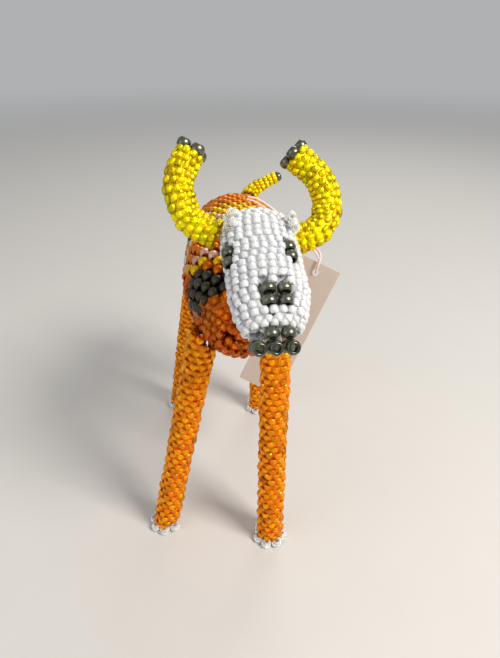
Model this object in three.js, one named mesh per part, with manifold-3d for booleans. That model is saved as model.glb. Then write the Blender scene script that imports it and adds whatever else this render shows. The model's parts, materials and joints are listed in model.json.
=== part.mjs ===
// Small free-standing bull woven from glass seed beads. Millimetres, +Z up.
// The animal faces -Y. The origin is on the ground under the middle of the figure.
import * as THREE from 'three';
import { mergeVertices } from 'three/addons/utils/BufferGeometryUtils.js';
import Module from 'manifold-3d';

const wasm = await Module();
wasm.setup();

// ---- driving dimensions ----
const BODY_LENGTH = 50;
const BODY_WIDTH = 20.4;
const BODY_HEIGHT = 20.2;
const LEG_LENGTH = 43.6; // ground to belly
const LEG_DIAMETER = 5.5;
const LEG_SPREAD = 12.4; // between the tops of a pair of legs
const LEG_STANCE = BODY_LENGTH * 0.8; // front pair to rear pair
const HEAD_LENGTH = 23.6;
const HEAD_WIDTH = 12.2;
const HEAD_DEPTH = 9;
const HEAD_SQUARENESS = 4.6;
const HEAD_TURN = 9.7; // degrees, to the animal's left
const HEAD_SLOPE = 29;
const HEAD_ROLL = 6;
const NECK_DIAMETER = 7;
const HORN_DIAMETER = 4.8;
const HORN_SPAN = 23; // outside edge to outside edge, near enough
const HORN_RISE = 12;
const TAIL_LENGTH = 7.4;
const TAIL_DIAMETER = 4.2;
const TAIL_TIP_DIAMETER = 2.6;
const BEAD_DIAMETER = 2.2;
const BEAD_LENGTH = 1.6;
const BEAD_BORE = 0.8;
const HOOF_BEAD_DIAMETER = 2.1;
const HOOF_BEAD_COUNT = 5;
const EAR_BEAD_DIAMETER = 1.5;
const EAR_BEAD_COUNT = 5;
const TAG_LENGTH = 28.5;
const TAG_WIDTH = 8.7;
const TAG_THICKNESS = 0.4;
const THREAD_DIAMETER = 0.35;

// ---- clearances and walls ----
const GAP = 0.3; // between a piece and what it rests on or in
const SWING_GAP = 0.6; // where a piece moves against its neighbour
const BEAD_GAP = 0.06; // between beads in a row
const BEAD_SIDE_GAP = 0.1; // between beads side by side
const WINDOW_GAP = 0.12; // round a face bead, and under a bead at a tube's end
const FILL_GAP = 0.5; // between a skin and its stuffing
const OVERRUN = 0.4; // how far a bore is cut past the end of its tube
const WALL = 1.7; // one layer of beads
const TAIL_WALL = 0.85;
const CORE_DIAMETER = 1.6;
const THIN_CORE_DIAMETER = 0.8;
const BEAD_SIDES = 8;
const CLEAR_BEAD_SIDES = 8;
const TUBE_SIDES = 14;
const CORE_SIDES = 8;
const CUT = 30; // a cutting box, wider than any piece that it trims

// ---- rings along each rounded form and sides round it ----
const BODY_FACETS = [14, 26];
const BODY_INSIDE_FACETS = [12, 20];
const BODY_FILL_FACETS = [10, 16];
const HEAD_FACETS = [12, 24];
const HEAD_INSIDE_FACETS = [10, 16];
const HEAD_FILL_FACETS = [8, 14];

// ---- the outline of a bead, as shares of its radius and half its length ----
const BEAD_FACE = 0.62;
const BEAD_FLANK = 0.45;
const BEAD_DISH = 0.86;
const CLEAR_BEAD_FACE = 0.66;

// ---- places on the figure ----
const BODY_ASIDE = -0.4; // from the middle of the legs
const BODY_BACK = 2;
const HEAD_PLACE = { aside: 4.5, back: 0.25, drop: 1.9 }; // from the chest and the top of the back
const NECK_FOOT = { aside: 1.6, back: 8.4, up: 0.62 };
const NECK_HEAD = { aside: 3.9, back: 3.4, drop: 3.5 };
const EYE_ROW = 3.0;
const EYES = { left: { x: 3.4, row: EYE_ROW }, right: { x: -5.4, row: EYE_ROW + 0.4 } };
const NOSTRILS = { x: 0.2, row: -4.3 };
const MUZZLE_LENGTH = 3.4;
const HORN_ROOT = { x: 6, y: 9.4, z: -1.2 };
const EARS = { ear_left: { x: 4.6, y: 7.6, lean: 50 }, ear_right: { x: -4.6, y: 8.2, lean: -50 } };
const EAR_TILT = -38;
const EAR_SINK = 0.7;
const EAR_BEAD_LENGTH = EAR_BEAD_DIAMETER * 0.72;
const EAR_BEAD_PITCH = EAR_BEAD_DIAMETER * 0.82;
const LEG_TOP = 0.3; // how far up the body a leg is sewn on, as a share of its height
const TAIL_PLACE = { aside: 1.4, ahead: 3.4, up: 0.72 }; // from the rump
const TAIL_COVER = 1.4; // the part of the tail that the body covers
const TAIL_OVERRUN = 0.6;
const TAG_PLACE = { aside: 1.9, back: 1.9, up: 11.2 }; // from the flank, the middle and the belly
const TAG_HOLE_DIAMETER = 1.4;
const TAG_HOLE_EDGE = 2; // from the tag's end to the middle of its hole

// ---- finishes ----
const finish = (color, roughness, metalness) => ({ color, roughness, metalness });
const ORANGE = finish(0xd07818, 0.25, 0.1);
const WHITE = finish(0xdde2e6, 0.3, 0.0);
const YELLOW = finish(0xe0cc1a, 0.22, 0.35);
const DARK = finish(0x3c403a, 0.2, 0.8);
const CLEAR = finish(0xe6e4e0, 0.12, 0.0);
const COTTON = finish(0xcfc6b4, 0.95, 0.0);
const WIRE = finish(0x9c9a94, 0.35, 0.9);
const PAPER = finish(0xcdc3b8, 0.8, 0.0);
const NYLON = finish(0xe8d8d4, 0.5, 0.0);

// ---- helpers ----
const V = (x, y, z) => new THREE.Vector3(x, y, z);
const rad = THREE.MathUtils.degToRad;

function signedVolume(position, index) {
  const a = V(0, 0, 0);
  const b = V(0, 0, 0);
  const c = V(0, 0, 0);
  let sum = 0;
  for (let i = 0; i < index.length; i += 3) {
    a.fromBufferAttribute(position, index[i]);
    b.fromBufferAttribute(position, index[i + 1]);
    c.fromBufferAttribute(position, index[i + 2]);
    sum += a.dot(b.cross(c));
  }
  return sum;
}

// a closed geometry becomes a solid that can be cut and joined
function solid(geometry, matrix) {
  let g = geometry.clone();
  g.deleteAttribute('normal');
  g.deleteAttribute('uv');
  if (matrix) g.applyMatrix4(matrix);
  g = mergeVertices(g, 1e-4);
  const position = g.getAttribute('position');
  const raw = g.getIndex().array;
  const kept = [];
  for (let i = 0; i < raw.length; i += 3) {
    const [p, q, r] = [raw[i], raw[i + 1], raw[i + 2]];
    if (p !== q && q !== r && p !== r) kept.push(p, q, r);
  }
  if (signedVolume(position, kept) < 0) {
    for (let i = 0; i < kept.length; i += 3) {
      [kept[i], kept[i + 1]] = [kept[i + 1], kept[i]];
    }
  }
  return new wasm.Manifold(new wasm.Mesh({
    numProp: 3,
    vertProperties: new Float32Array(position.array),
    triVerts: new Uint32Array(kept),
  }));
}

function geometryOf(manifold) {
  const mesh = manifold.getMesh();
  const g = new THREE.BufferGeometry();
  g.setAttribute('position', new THREE.BufferAttribute(new Float32Array(mesh.vertProperties), 3));
  g.setIndex(new THREE.BufferAttribute(new Uint32Array(mesh.triVerts), 1));
  return g;
}

function mesh(name, shape, look, parent) {
  const g = shape.isBufferGeometry ? shape : geometryOf(shape);
  const m = new THREE.Mesh(g, new THREE.MeshStandardMaterial(look));
  m.name = name;
  parent.add(m);
  return m;
}

// the largest piece left after a cut
function mainPiece(manifold) {
  return manifold.decompose().sort((a, b) => b.volume() - a.volume())[0];
}

const smooth = (x, a, b) => THREE.MathUtils.smoothstep(x, a, b);

// rounded end: 0 at the ends of the span, 1 along most of it
function roundedEnd(u, power) {
  const w = Math.min(1, Math.abs(u));
  return Math.pow(Math.max(0, 1 - Math.pow(w, power)), 1 / power);
}

// a form revolved about Y, then widened, flattened and shifted along its length
function shapedForm({ length, inset, sides, rings, power, half, centre }) {
  const reach = length / 2 - inset;
  const profile = [];
  for (let i = 0; i <= rings; i += 1) {
    const u = -Math.cos((Math.PI * i) / rings);
    profile.push(new THREE.Vector2(i === 0 || i === rings ? 0 : roundedEnd(u, power), u * reach));
  }
  const g = new THREE.LatheGeometry(profile, sides);
  const p = g.getAttribute('position');
  for (let i = 0; i < p.count; i += 1) {
    const y = p.getY(i);
    const h = half(y);
    const c = centre(y);
    p.setXYZ(i, c.x + p.getX(i) * (h.x - inset), y, c.z + p.getZ(i) * (h.z - inset));
  }
  return solid(g);
}

// a straight or bent rod, round in section, that may narrow towards its end
function rod(points, diameter, sides, steps, endDiameter = diameter) {
  const path = points.length > 2
    ? new THREE.CatmullRomCurve3(points)
    : new THREE.LineCurve3(points[0], points[1]);
  const { normals, binormals } = path.computeFrenetFrames(steps, false);
  const corners = [];
  const index = [];
  for (let i = 0; i <= steps; i += 1) {
    const middle = path.getPointAt(i / steps);
    const radius = THREE.MathUtils.lerp(diameter, endDiameter, i / steps) / 2;
    for (let k = 0; k < sides; k += 1) {
      const a = (2 * Math.PI * k) / sides;
      corners.push(middle.clone()
        .addScaledVector(normals[i], Math.cos(a) * radius)
        .addScaledVector(binormals[i], Math.sin(a) * radius));
      const next = (k + 1) % sides;
      const low = i * sides;
      const high = low + sides;
      if (i < steps) index.push(low + k, low + next, high + next, low + k, high + next, high + k);
      if (k > 0 && k < sides - 1) {
        if (i === 0) index.push(0, k + 1, k);
        if (i === steps) index.push(low, low + k, low + k + 1);
      }
    }
  }
  return new THREE.BufferGeometry().setFromPoints(corners).setIndex(index);
}

// a woven tube: the rod with its middle removed, open at both ends
function sleeve(points, diameter, sides, steps) {
  const outer = solid(rod(points, diameter, sides, steps));
  const first = points[0].clone().sub(points[1]).setLength(OVERRUN).add(points[0]);
  const n = points.length;
  const last = points[n - 1].clone().sub(points[n - 2]).setLength(OVERRUN).add(points[n - 1]);
  const longer = [first, ...points, last];
  return outer.subtract(solid(rod(longer, diameter - 2 * WALL, sides, steps + 2)));
}

// one round glass bead with its bore along Y
function beadGeometry(diameter, length, bore, sides = BEAD_SIDES) {
  const r = diameter / 2;
  const h = length / 2;
  const b = bore / 2;
  const profile = [
    new THREE.Vector2(b, -h * BEAD_DISH),
    new THREE.Vector2(r * BEAD_FACE, -h),
    new THREE.Vector2(r, -h * BEAD_FLANK),
    new THREE.Vector2(r, h * BEAD_FLANK),
    new THREE.Vector2(r * BEAD_FACE, h),
    new THREE.Vector2(b, h * BEAD_DISH),
    new THREE.Vector2(b, -h * BEAD_DISH),
  ];
  return new THREE.LatheGeometry(profile, sides);
}

const darkBead = geometryOf(solid(beadGeometry(BEAD_DIAMETER - BEAD_GAP, BEAD_LENGTH, BEAD_BORE)));

function bead(name, look, position, direction, parent) {
  const m = mesh(name, darkBead, look, parent);
  m.position.copy(position);
  m.quaternion.setFromUnitVectors(V(0, 1, 0), direction.clone().normalize());
  return m;
}

// a bead whose bore is filled by its thread, with flat ends
function filledBead(diameter, length) {
  const r = diameter / 2;
  const h = length / 2;
  return new THREE.LatheGeometry([
    new THREE.Vector2(0, -h),
    new THREE.Vector2(r * CLEAR_BEAD_FACE, -h),
    new THREE.Vector2(r, -h * BEAD_FLANK),
    new THREE.Vector2(r, h * BEAD_FLANK),
    new THREE.Vector2(r * CLEAR_BEAD_FACE, h),
    new THREE.Vector2(0, h),
  ], CLEAR_BEAD_SIDES);
}

// beads on one thread along a curve, joined by the thread through their bores
function strung(places, outward, diameter, length, thread) {
  let all = solid(thread);
  places.forEach((p, i) => {
    const y = outward[i].clone().normalize();
    const x = y.clone().cross(Math.abs(y.z) > 0.9 ? V(1, 0, 0) : V(0, 0, 1)).normalize();
    const m = new THREE.Matrix4().makeBasis(x, y, x.clone().cross(y)).setPosition(p);
    all = all.add(solid(filledBead(diameter, length), m));
  });
  return all;
}

// ---- the body ----
const bull = new THREE.Group();
const bellyHeight = LEG_LENGTH;
const bodyMiddle = V(BODY_ASIDE, LEG_STANCE / 2 + BODY_BACK, bellyHeight + BODY_HEIGHT / 2);
const bodyGroup = new THREE.Group();
bodyGroup.position.copy(bodyMiddle);
bull.add(bodyGroup);

// the chest is lower and slimmer than the barrel, and the rump tucks in
function bodyHalf(y) {
  const u = (2 * y) / BODY_LENGTH;
  const chest = 1 - 0.2 * smooth(-u, 0.35, 1);
  const rump = 1 + 0.05 * smooth(u, 0.1, 0.7);
  const depth = 1 - 0.24 * smooth(-u, 0.25, 1);
  return { x: (BODY_WIDTH / 2) * chest * rump, z: (BODY_HEIGHT / 2) * depth };
}
function bodyCentre(y) {
  const u = (2 * y) / BODY_LENGTH;
  const aside = 0.045 * smooth(-u, -0.2, 1) - 0.03 * smooth(u, 0, 1);
  return { x: BODY_WIDTH * aside, z: -BODY_HEIGHT * 0.1 * smooth(-u, 0.25, 1) };
}
const bodyForm = (inset, rings, sides) => shapedForm({
  length: BODY_LENGTH, inset, sides, rings, power: 3, half: bodyHalf, centre: bodyCentre,
});
const bodyOuter = bodyForm(0, ...BODY_FACETS);
const bodyClear = bodyForm(-SWING_GAP, ...BODY_FACETS);

// ---- the head, in its own frame: muzzle towards -Y, brow up ----
const chest = bodyMiddle.y - BODY_LENGTH / 2;
const backTop = bellyHeight + BODY_HEIGHT;
const headMiddle = V(HEAD_PLACE.aside, chest + HEAD_PLACE.back, backTop - HEAD_PLACE.drop);
const headGroup = new THREE.Group();
headGroup.position.copy(headMiddle);
headGroup.rotation.set(rad(HEAD_SLOPE), rad(HEAD_ROLL), rad(HEAD_TURN), 'ZXY');
bull.add(headGroup);
bull.updateMatrixWorld(true);
const headMatrix = headGroup.matrixWorld.clone();
const headInverse = headMatrix.clone().invert();

function headHalf(y) {
  const u = (2 * y) / HEAD_LENGTH;
  return {
    x: (HEAD_WIDTH / 2) * (1 - 0.36 * smooth(-u, 0.3, 1)),
    z: (HEAD_DEPTH / 2) * (1 - 0.42 * smooth(-u, 0.0, 1)),
  };
}
function headCentre(y) {
  const u = (2 * y) / HEAD_LENGTH;
  return {
    x: -HEAD_WIDTH * 0.04 * smooth(-u, 0.3, 1),
    z: -HEAD_DEPTH * 0.08 * smooth(-u, 0.1, 1),
  };
}
const headForm = (inset, rings, sides) => shapedForm({
  length: HEAD_LENGTH, inset, sides, rings, power: HEAD_SQUARENESS, half: headHalf, centre: headCentre,
});
const headOuter = headForm(0, ...HEAD_FACETS);
const headClear = headForm(-GAP, ...HEAD_FACETS);

// ---- the neck: a short sleeve from the body's front to the head's underside ----
const neckFoot = V(NECK_FOOT.aside, chest + NECK_FOOT.back, bellyHeight + BODY_HEIGHT * NECK_FOOT.up);
const neckHead = V(NECK_HEAD.aside, chest + NECK_HEAD.back, backTop - NECK_HEAD.drop);
const neckLine = neckHead.clone().sub(neckFoot);
const bodyMatrix = bodyGroup.matrixWorld.clone();
const placed = (manifold, matrix) => manifold.transform(matrix.elements);
const neckAll = sleeve([neckFoot, neckHead], NECK_DIAMETER, TUBE_SIDES, 3);
const neckShape = neckAll
  .subtract(placed(bodyClear, bodyMatrix))
  .subtract(placed(headForm(-SWING_GAP, ...HEAD_FACETS), headMatrix));
mesh('neck_collar', mainPiece(neckShape), ORANGE, bull);
const neckHole = solid(rod([
  neckFoot.clone().addScaledVector(neckLine, -1),
  neckHead.clone().addScaledVector(neckLine, 0.3),
], NECK_DIAMETER - 2 * WALL, TUBE_SIDES, 1));

// body skin and stuffing
const inBody = (manifold) => placed(manifold, bodyMatrix.clone().invert());
const neckOpening = inBody(solid(rod([
  neckFoot.clone().addScaledVector(neckLine, -0.2), neckHead,
], NECK_DIAMETER - 2 * WALL, TUBE_SIDES, 1)));
const bodyInside = bodyForm(WALL, ...BODY_INSIDE_FACETS);
mesh('body_skin', bodyOuter.subtract(bodyInside).subtract(neckOpening), ORANGE, bodyGroup);
mesh('body_stuffing', bodyForm(WALL + FILL_GAP, ...BODY_FILL_FACETS), COTTON, bodyGroup);

// ---- the dark beads of the face ----
// a place on the head's surface: sideways offset, distance along, which face
function onHead(x, y, up, sink) {
  const h = headHalf(y);
  const c = headCentre(y);
  const round = roundedEnd((2 * y) / HEAD_LENGTH, HEAD_SQUARENESS);
  const hx = h.x * round - sink;
  const hz = h.z * round - sink;
  const cx = THREE.MathUtils.clamp(x / hx, -0.98, 0.98);
  return V(cx * hx, y, c.z + up * hz * Math.sqrt(1 - cx * cx));
}
const SINK = BEAD_DIAMETER / 2 - 0.15;
const lengthwise = V(0, 1, 0);
const pitch = BEAD_LENGTH + BEAD_GAP * 2;
const faceBeads = [];
Object.entries(EYES).forEach(([side, { x, row }]) => {
  [0.5, -0.5].forEach((k, i) => {
    faceBeads.push([`eye_${side}_${i + 1}`, onHead(x, row + k * pitch, 1, SINK), lengthwise]);
  });
});
[-0.5, 0.5].forEach((kx, i) => {
  [0.5, -0.5].forEach((ky, j) => {
    const x = NOSTRILS.x + kx * (BEAD_DIAMETER + BEAD_SIDE_GAP);
    const p = onHead(x, NOSTRILS.row + ky * pitch, 1, SINK);
    faceBeads.push([`nostril_${i + 1}_${j + 1}`, p, lengthwise]);
  });
});
faceBeads.forEach(([name, p, d]) => bead(name, DARK, p, d, headGroup));

// the muzzle: two beads on top, three closing the end with their bores outward, three on the chin
const muzzleStart = -HEAD_LENGTH / 2 + MUZZLE_LENGTH;
const muzzle = headCentre(muzzleStart);
const muzzlePitch = BEAD_DIAMETER + BEAD_SIDE_GAP;
function muzzleRow(name, count, along, rise, direction, shift) {
  for (let i = 0; i < count; i += 1) {
    const x = muzzle.x + shift + (i - (count - 1) / 2) * muzzlePitch;
    bead(`${name}_${i + 1}`, DARK, V(x, muzzleStart - along, muzzle.z + rise), direction, headGroup);
  }
}
muzzleRow('muzzle_top', 2, BEAD_LENGTH / 2 + 0.2, 1.55, V(0, 1, 0.1), 0.45);
muzzleRow('muzzle_end', 3, BEAD_LENGTH + 1.4, 1.25, V(0, -0.62, 0.78), -0.4);
muzzleRow('muzzle_chin', 3, BEAD_LENGTH / 2 + 0.4, -1.75, V(0, 1, 0), 0);

// head skin: open at the muzzle and at the neck, with windows where the dark beads sit
const boxAt = (x, y, z, w, l, h) => solid(
  new THREE.BoxGeometry(w, l, h), new THREE.Matrix4().makeTranslation(x, y, z),
);
let headSkin = headOuter.subtract(headForm(WALL, ...HEAD_INSIDE_FACETS));
headSkin = headSkin.subtract(boxAt(0, muzzleStart - CUT / 2, 0, CUT, CUT, CUT));
headSkin = headSkin.subtract(placed(neckHole, headInverse));
const windowGeometry = new THREE.CylinderGeometry(
  BEAD_DIAMETER / 2 + WINDOW_GAP, BEAD_DIAMETER / 2 + WINDOW_GAP, BEAD_LENGTH + 2 * WINDOW_GAP, BEAD_SIDES,
);
faceBeads.forEach(([, p]) => {
  headSkin = headSkin.subtract(solid(windowGeometry, new THREE.Matrix4().makeTranslation(p.x, p.y, p.z)));
});
mesh('head_skin', headSkin, WHITE, headGroup);
const HEAD_FILL_GAP = 0.35;
const headFill = headForm(BEAD_DIAMETER + HEAD_FILL_GAP, ...HEAD_FILL_FACETS)
  .subtract(boxAt(0, muzzleStart + OVERRUN - CUT / 2, 0, CUT, CUT, CUT));
mesh('head_stuffing', headFill, COTTON, headGroup);

// ---- horns: curved sleeves rising from the back of the head ----
const HORN_DRAWN = { span: 23, rise: 12 }; // the sizes the bends below are given for
const wider = HORN_SPAN / HORN_DRAWN.span;
const taller = HORN_RISE / HORN_DRAWN.rise;
const hornPaths = {
  right: [[0, 0, 0], [-3.7, 2.2, 0.6], [-5.4, 5.4, 3.0], [-5.0, 8.1, 4.8], [-3.7, 10.1, 6.1]],
  left: [[0, -0.6, -0.6], [4.2, 0.2, 0.9], [6.0, 3.8, 2.6], [4.8, 7.6, 4.8], [1.5, 10.7, 6.0]],
};
Object.entries(hornPaths).forEach(([side, bends]) => {
  const sign = side === 'left' ? 1 : -1;
  const points = bends.map(([x, y, z]) => V(
    sign * HORN_ROOT.x + x * wider, HORN_ROOT.y + y * taller, HORN_ROOT.z + z * taller,
  ));
  const skin = sleeve(points, HORN_DIAMETER, TUBE_SIDES, 12).subtract(headClear);
  mesh(`horn_${side}_skin`, mainPiece(skin), YELLOW, headGroup);
  const curve = new THREE.CatmullRomCurve3(points);
  const core = [];
  for (let i = 0; i <= 8; i += 1) core.push(curve.getPoint(0.04 + (0.94 * i) / 8));
  const coreShape = solid(rod(core, HORN_DIAMETER - 2 * WALL - 2 * GAP, CORE_SIDES, 12)).subtract(headClear);
  mesh(`horn_${side}_core`, mainPiece(coreShape), WIRE, headGroup);
  // four dark beads in a ring on the end
  const end = points[points.length - 1];
  const out = curve.getTangent(1).normalize();
  const across = V(0, 0, 1).cross(out).normalize();
  const upward = out.clone().cross(across).normalize();
  const spread = BEAD_DIAMETER / 2 + 0.03;
  [[1, 1], [-1, 1], [-1, -1], [1, -1]].forEach(([a, b], i) => {
    const p = end.clone()
      .addScaledVector(out, BEAD_LENGTH / 2 + WINDOW_GAP)
      .addScaledVector(across, a * spread)
      .addScaledVector(upward, b * spread);
    bead(`horn_${side}_tip_${i + 1}`, DARK, p, out, headGroup);
  });
});

// ---- ears: upright loops of clear beads on one thread ----
function ear(name, x, y, lean) {
  const count = EAR_BEAD_COUNT;
  const ringRadius = (EAR_BEAD_PITCH * count) / (2 * Math.PI);
  const foot = onHead(x, y, 1, 0);
  const places = [];
  const outward = [];
  for (let i = 0; i < count; i += 1) {
    const a = (2 * Math.PI * (i + 0.5)) / count;
    places.push(V(Math.cos(a) * ringRadius, 0, Math.sin(a) * ringRadius));
    outward.push(V(-Math.sin(a), 0, Math.cos(a)));
  }
  const loop = new THREE.TorusGeometry(ringRadius, THREAD_DIAMETER / 2 + 0.1, 5, 10);
  loop.rotateX(Math.PI / 2);
  const all = strung(places, outward, EAR_BEAD_DIAMETER, EAR_BEAD_LENGTH, loop);
  const m = new THREE.Matrix4()
    .makeRotationFromEuler(new THREE.Euler(rad(EAR_TILT), rad(lean), rad(lean * 1.2), 'ZYX'));
  m.setPosition(foot.x, foot.y, foot.z + ringRadius + EAR_BEAD_DIAMETER / 2 - EAR_SINK);
  mesh(name, placed(all, m).subtract(headClear), CLEAR, headGroup);
}
Object.entries(EARS).forEach(([name, { x, y, lean }]) => ear(name, x, y, lean));

// ---- legs ----
const halfSpread = LEG_SPREAD / 2;
const frontRow = bodyMiddle.y - LEG_STANCE / 2 - 0.4;
const rearRow = frontRow + LEG_STANCE;
const legs = [
  { name: 'front_right', top: [-halfSpread + 0.7, frontRow + 1.4], foot: [-16.2, 4.2], start: 118 },
  { name: 'front_left', top: [halfSpread + 0.3, frontRow + 0.6], foot: [6.4, 0.8], start: 150 },
  { name: 'rear_right', top: [-halfSpread - 3.4, rearRow + 0.2], foot: [-18.0, rearRow + 3.4], start: 118 },
  { name: 'rear_left', top: [halfSpread - 0.6, rearRow], foot: [4.6, rearRow + 1.2], start: 150 },
];
const footHeight = BEAD_LENGTH + GAP;
const bodyAbove = placed(bodyClear, bodyMatrix);
legs.forEach(({ name, top, foot, start }) => {
  const lower = V(foot[0], foot[1], 0);
  const upper = V(top[0], top[1], bellyHeight + BODY_HEIGHT * LEG_TOP);
  const t = footHeight / upper.z;
  const ankle = lower.clone().lerp(upper, t * 0.4);
  const ground = boxAt(lower.x, lower.y, footHeight - CUT / 2, CUT, CUT, CUT);
  const skin = sleeve([ankle, upper], LEG_DIAMETER, TUBE_SIDES, 4)
    .subtract(ground).subtract(bodyAbove);
  mesh(`leg_${name}_skin`, mainPiece(skin), ORANGE, bull);
  const core = solid(rod([ankle, upper], CORE_DIAMETER, CORE_SIDES, 2))
    .subtract(boxAt(lower.x, lower.y, footHeight + SWING_GAP - CUT / 2, CUT, CUT, CUT)).subtract(bodyAbove);
  mesh(`leg_${name}_core`, mainPiece(core), WIRE, bull);
  // a row of clear upright beads on one thread, standing out from under the foot
  const count = HOOF_BEAD_COUNT;
  const radius = LEG_DIAMETER / 2 - 0.25;
  const places = [];
  const outward = [];
  const threadPoints = [];
  const height = BEAD_LENGTH / 2;
  const step = 2 * Math.asin((HOOF_BEAD_DIAMETER + 0.04) / 2 / radius);
  for (let i = 0; i < count; i += 1) {
    const a = rad(start) + i * step;
    places.push(V(Math.cos(a) * radius, Math.sin(a) * radius, height));
    outward.push(V(0, 0, 1));
  }
  for (let i = 0; i <= 8; i += 1) {
    const a = rad(start) + (i / 8) * (count - 1) * step;
    threadPoints.push(V(Math.cos(a) * radius, Math.sin(a) * radius, height));
  }
  const thread = rod(threadPoints, THREAD_DIAMETER, 6, 8);
  const row = strung(places, outward, HOOF_BEAD_DIAMETER, BEAD_LENGTH, thread);
  const m = mesh(`hoof_${name}_beads`, row, CLEAR, bull);
  const footX = THREE.MathUtils.lerp(lower.x, upper.x, t * 0.5);
  const footY = THREE.MathUtils.lerp(lower.y, upper.y, t * 0.5);
  m.position.set(footX, footY, 0);
});

// ---- tail: a short raised sleeve on the rump with one dark bead at its tip ----
const tailRoot = V(
  TAIL_PLACE.aside, bodyMiddle.y + BODY_LENGTH / 2 - TAIL_PLACE.ahead,
  bellyHeight + BODY_HEIGHT * TAIL_PLACE.up,
);
const tailAim = V(6.4, 3.4, 5.6).normalize();
const tailEnd = tailRoot.clone().addScaledVector(tailAim, TAIL_LENGTH + TAIL_COVER);
const tailArch = V(-1.5, 0.5, 0.7);
const tailMiddle = tailRoot.clone().lerp(tailEnd, 0.5).add(tailArch);
const tailPoints = [tailRoot, tailMiddle, tailEnd];
const tailLonger = [
  tailRoot.clone().addScaledVector(tailAim, -TAIL_OVERRUN),
  tailMiddle,
  tailEnd.clone().addScaledVector(tailAim, TAIL_OVERRUN),
];
const tailTube = solid(rod(tailPoints, TAIL_DIAMETER, TUBE_SIDES, 8, TAIL_TIP_DIAMETER));
const tailBore = solid(rod(
  tailLonger, TAIL_DIAMETER - 2 * TAIL_WALL, CORE_SIDES, 10, TAIL_TIP_DIAMETER - 2 * TAIL_WALL,
));
mesh('tail_skin', mainPiece(tailTube.subtract(tailBore).subtract(bodyAbove)), YELLOW, bull);
const tailCurve = new THREE.CatmullRomCurve3(tailPoints);
const tailCore = solid(rod([
  tailCurve.getPoint(0.05), tailCurve.getPoint(0.4), tailCurve.getPoint(0.8),
], THIN_CORE_DIAMETER, 6, 6));
mesh('tail_core', tailCore.subtract(bodyAbove), WIRE, bull);
bead('tail_tip_bead', DARK, tailEnd.clone().addScaledVector(tailCurve.getTangent(1), BEAD_LENGTH / 2 + 0.15),
  tailCurve.getTangent(1), bull);

// ---- swing tag: a blank slip of paper leaning against the animal's left side ----
const tagCorner = V(
  BODY_WIDTH / 2 + TAG_PLACE.aside, bodyMiddle.y + TAG_PLACE.back, bellyHeight + TAG_PLACE.up,
);
const tagDown = V(-12.2, -6.9, -25).normalize();
const tagAcross = V(8, -1.8, -3).normalize();
tagAcross.addScaledVector(tagDown, -tagAcross.dot(tagDown)).normalize();
const tagNormal = tagAcross.clone().cross(tagDown).normalize();
const slip = new THREE.Shape();
slip.moveTo(0, 0);
slip.lineTo(TAG_WIDTH, 0);
slip.lineTo(TAG_WIDTH, TAG_LENGTH);
slip.lineTo(0, TAG_LENGTH);
slip.closePath();
const hole = new THREE.Path();
hole.absarc(TAG_WIDTH / 2, TAG_HOLE_EDGE, TAG_HOLE_DIAMETER / 2, 0, 2 * Math.PI, true);
slip.holes.push(hole);
const tagShape = new THREE.ExtrudeGeometry(slip, {
  depth: TAG_THICKNESS, bevelEnabled: false, curveSegments: 8,
});
const tagMatrix = new THREE.Matrix4().makeBasis(tagAcross, tagDown, tagNormal).setPosition(tagCorner);
mesh('swing_tag', geometryOf(solid(tagShape, tagMatrix)), PAPER, bull);

// ---- tag thread: from a stitch on the back, through the hole in the tag and back to the stitch ----
// (millimetres from the left flank, the middle and the top of the back)
const THREAD_ROUTE = [
  [-8.6, 7.2, 0.2], [-7, 6.4, 0], [-4.8, 5.6, -1.2], [-2.4, 4.9, -2.9], [-0.1, 4.2, -4.9],
  [2.4, 3.5, -6.9], [4.8, 2.9, -8.9], [5.7, 2.3, -10.6], [5.3, 1.5, -12.1], [5, 0.7, -12.45],
  [4.9, -0.1, -11.9], [5.3, -0.1, -10.4], [5.7, 0.9, -8.9], [4.7, 2.6, -7.6], [2.6, 4.3, -6.2],
  [0.2, 5.7, -4.5], [-2.1, 6.8, -2.7], [-4.5, 7.8, -1.1], [-6.8, 8.3, 0.1], [-8.4, 8.6, 0.3],
];
const THREAD_BODY_HEIGHT = 20.2; // the body height that the route is given for
const threadPath = THREAD_ROUTE.map(([x, y, z]) => {
  const lift = (BODY_HEIGHT - THREAD_BODY_HEIGHT) * smooth(z, -8, -1);
  return V(BODY_WIDTH / 2 + x, bodyMiddle.y + y, bellyHeight + THREAD_BODY_HEIGHT + z + lift);
});
mesh('tag_thread', solid(rod(threadPath, THREAD_DIAMETER, 8, 60)), NYLON, bull);

// the origin goes on the ground under the middle of the figure
bull.updateMatrixWorld(true);
const box = new THREE.Box3();
bull.traverse((o) => {
  if (o.isMesh && o.name !== 'swing_tag' && o.name !== 'tag_thread') box.expandByObject(o, true);
});
const figure = new THREE.Group();
bull.position.set(-(box.min.x + box.max.x) / 2, -(box.min.y + box.max.y) / 2, -box.min.z);
figure.add(bull);

export default figure;
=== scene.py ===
"""A small free-standing bull woven from glass seed beads, with a blank swing tag on a thread."""

import json
import math

import bpy
import numpy as np
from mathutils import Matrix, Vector
from mathutils.bvhtree import BVHTree

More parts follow.
